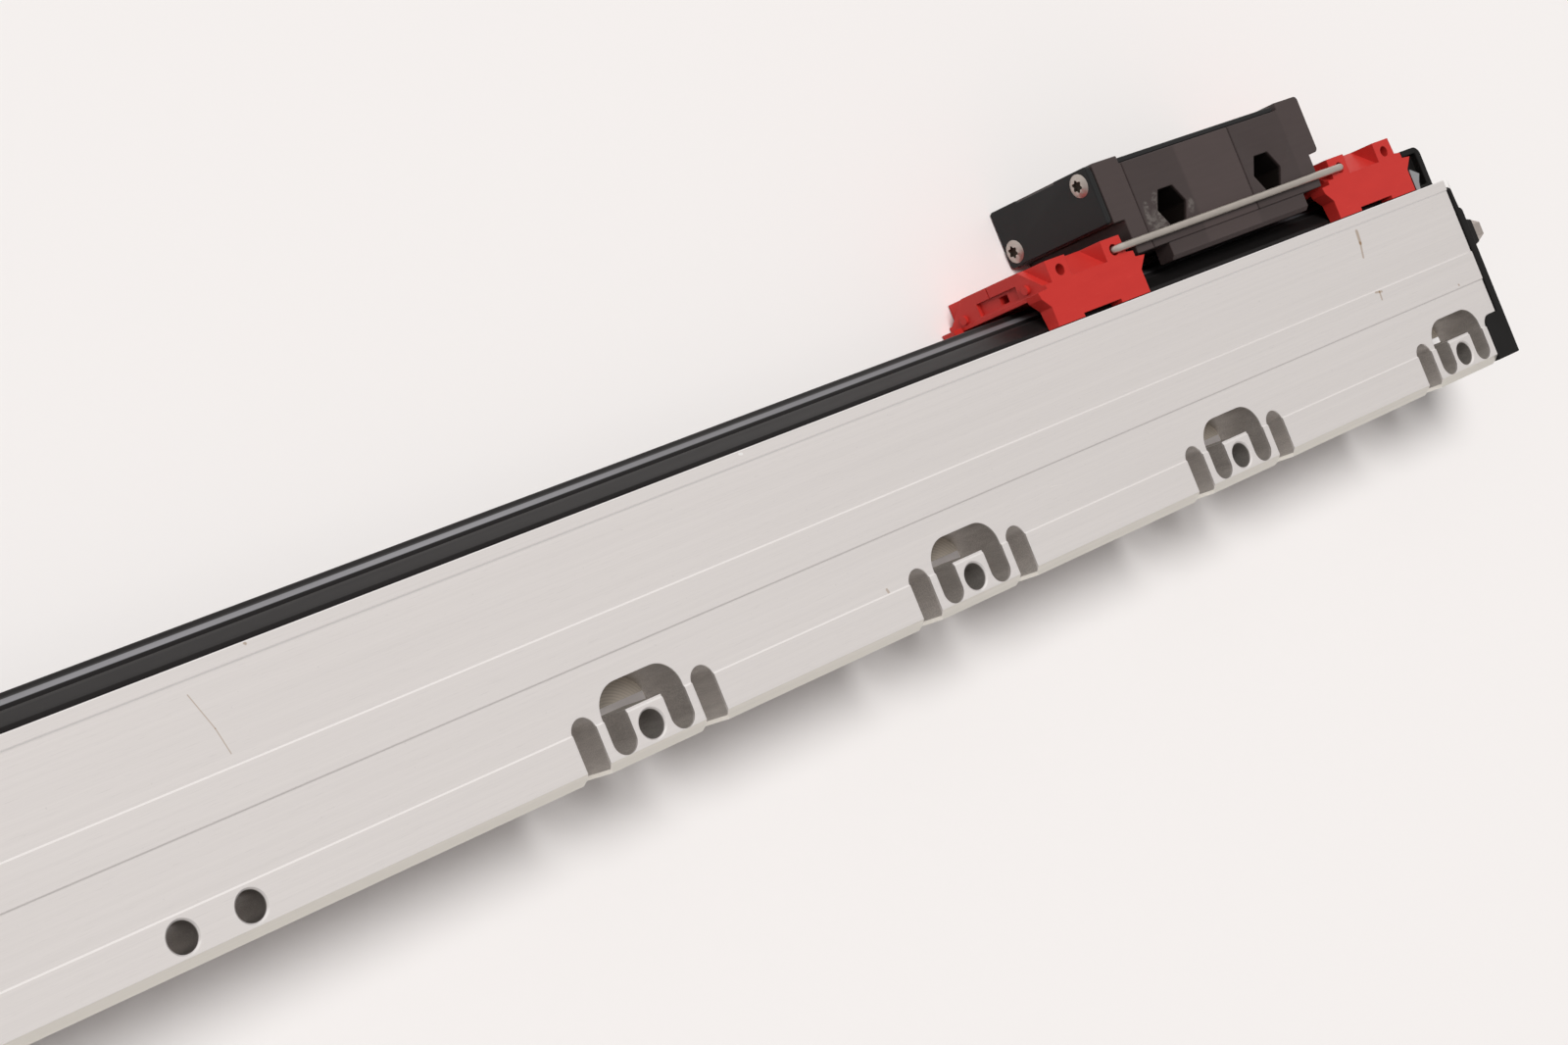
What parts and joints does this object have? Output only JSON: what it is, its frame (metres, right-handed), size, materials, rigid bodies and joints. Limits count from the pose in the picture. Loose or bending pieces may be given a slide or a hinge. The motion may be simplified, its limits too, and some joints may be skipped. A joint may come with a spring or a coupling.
{
  "type": "linear glass scale",
  "caption": "Sealed linear encoder with an extruded aluminium housing, elastic mounting pockets, and a scanning head that travels along it, held by a red transport brace.",
  "frame": {"origin": "middle of the central pair of mounting holes, on the mounting face", "axes": "+X along the scale towards the end where the head stands, +Y from the mounting flange towards the head, +Z out of the mounting face"},
  "size_m": [0.8808, 0.0885, 0.0398],
  "materials": {
    "brushed_aluminium": "fine brushed along X, clear anodised",
    "scale_glass": "polished, with a fine graduation",
    "optical_glass": "polished",
    "lip_rubber": "satin elastomer",
    "elastic_bond": "matte",
    "seal_rubber": "matte",
    "cap_black": "satin black",
    "head_black": "matte black, worn at the nut pockets",
    "cover_black": "smooth black",
    "screw_steel": "dull nickel",
    "clip_steel": "satin spring steel",
    "wire_steel": "drawn, satin",
    "bearing_steel": "ground",
    "socket_metal": "nickel plated",
    "pin_gold": "gold plated",
    "circuit_board": "solder mask",
    "carriage_metal": "satin die cast",
    "led_resin": "clear resin",
    "brace_red": "moulded, satin"
  },
  "bodies": {
    "scale": {"housing": "brushed_aluminium", "glass_scale": "scale_glass", "scale_bond": "elastic_bond", "lip_front": "lip_rubber", "lip_back": "lip_rubber", "end_cap_right": "cap_black", "end_cap_left": "cap_black", "end_gasket_right": "seal_rubber", "end_gasket_left": "seal_rubber", "cap_screws": "screw_steel", "air_plugs": "screw_steel", "lip_clips": "clip_steel"},
    "head": {"mounting_block": "head_black", "head_lid": "cover_black", "end_cover": "cover_black", "cover_gasket": "seal_rubber", "cover_screws": "screw_steel", "cable_socket": "socket_metal", "socket_pins": "pin_gold", "head_board": "circuit_board", "coupling_blade": "bearing_steel", "coupling_wire": "bearing_steel", "carriage": "carriage_metal", "led_emitter": "led_resin", "condenser_lens": "optical_glass", "scanning_reticle": "optical_glass", "photocell_board": "circuit_board", "roller_pins": "bearing_steel", "brace_block_left": "brace_red", "brace_block_right": "brace_red"},
    "face_roller_a": {"face_roller_1": "bearing_steel"},
    "face_roller_b": {"face_roller_2": "bearing_steel"},
    "face_roller_c": {"face_roller_3": "bearing_steel"},
    "edge_roller_a": {"edge_roller_1": "bearing_steel"},
    "edge_roller_b": {"edge_roller_2": "bearing_steel"},
    "wire": {"locking_wire": "wire_steel"}
  },
  "joints": [
    {"name": "head_travel", "type": "slide", "parent": "scale", "child": "head", "axis": [1, 0, 0], "range_m": [-0.678, 0.0015]},
    {"name": "face_roller_a_spin", "type": "hinge", "parent": "head", "child": "face_roller_a", "pos_m": [0.3185, 0.02, -0.0191], "axis": [0, 1, 0], "continuous": true},
    {"name": "face_roller_b_spin", "type": "hinge", "parent": "head", "child": "face_roller_b", "pos_m": [0.3585, 0.02, -0.0191], "axis": [0, 1, 0], "continuous": true},
    {"name": "face_roller_c_spin", "type": "hinge", "parent": "head", "child": "face_roller_c", "pos_m": [0.3385, 0.0302, -0.0191], "axis": [0, 1, 0], "continuous": true},
    {"name": "edge_roller_a_spin", "type": "hinge", "parent": "head", "child": "edge_roller_a", "pos_m": [0.3185, 0.0351, -0.014], "axis": [0, 0, 1], "continuous": true},
    {"name": "edge_roller_b_spin", "type": "hinge", "parent": "head", "child": "edge_roller_b", "pos_m": [0.3585, 0.0351, -0.014], "axis": [0, 0, 1], "continuous": true},
    {"name": "wire_pull", "type": "slide", "parent": "head", "child": "wire", "axis": [0, 0, 1], "range_m": [0, 0.032]}
  ],
  "couplings": [
    {"joint": "face_roller_a_spin", "follows": "head_travel", "rad_per_m": -333.33},
    {"joint": "face_roller_b_spin", "follows": "head_travel", "rad_per_m": -333.33},
    {"joint": "face_roller_c_spin", "follows": "head_travel", "rad_per_m": -333.33},
    {"joint": "edge_roller_a_spin", "follows": "head_travel", "rad_per_m": -333.33},
    {"joint": "edge_roller_b_spin", "follows": "head_travel", "rad_per_m": -333.33}
  ]
}
